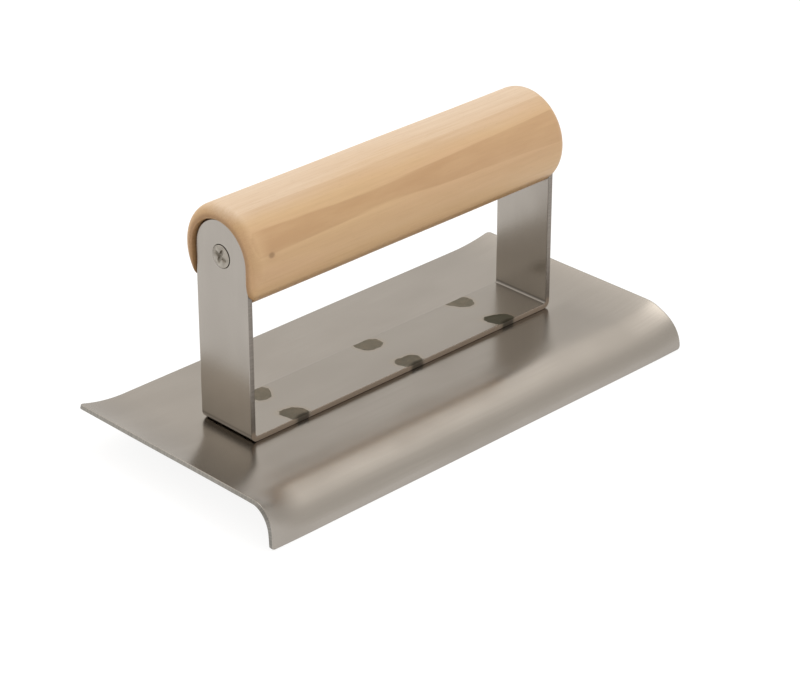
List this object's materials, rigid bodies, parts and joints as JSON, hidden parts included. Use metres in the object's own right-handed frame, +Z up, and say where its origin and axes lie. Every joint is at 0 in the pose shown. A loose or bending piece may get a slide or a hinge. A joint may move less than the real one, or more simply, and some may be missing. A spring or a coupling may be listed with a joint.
{
  "type": "concrete edger",
  "caption": "Concrete hand edger: flat pressed-steel blade with a quarter-round lip and turned-up ends, welded strap bracket and turned wooden grip held by screws.",
  "frame": {"origin": "on the flat sole, half way along the blade, straight under the grip's axis", "axes": "+X along the blade and the grip, -Y towards the rolled lip, +Z up from the sole to the grip"},
  "size_m": [0.153, 0.0744, 0.0728],
  "materials": {
    "blade_steel": "rolled stainless sheet, half polished",
    "bracket_steel": "rolled stainless strap, half polished",
    "grip_wood": "sanded pale hardwood",
    "screw_steel": "plated wood screw",
    "weld_steel": "heat-tinted spot weld"
  },
  "bodies": {
    "root": {"blade": "blade_steel", "handle_bracket": "bracket_steel", "handle_grip": "grip_wood", "left_screw": "screw_steel", "right_screw": "screw_steel", "spot_weld_back_left": "weld_steel", "spot_weld_back_middle": "weld_steel", "spot_weld_back_right": "weld_steel", "spot_weld_front_left": "weld_steel", "spot_weld_front_middle": "weld_steel", "spot_weld_front_right": "weld_steel"}
  },
  "joints": []
}
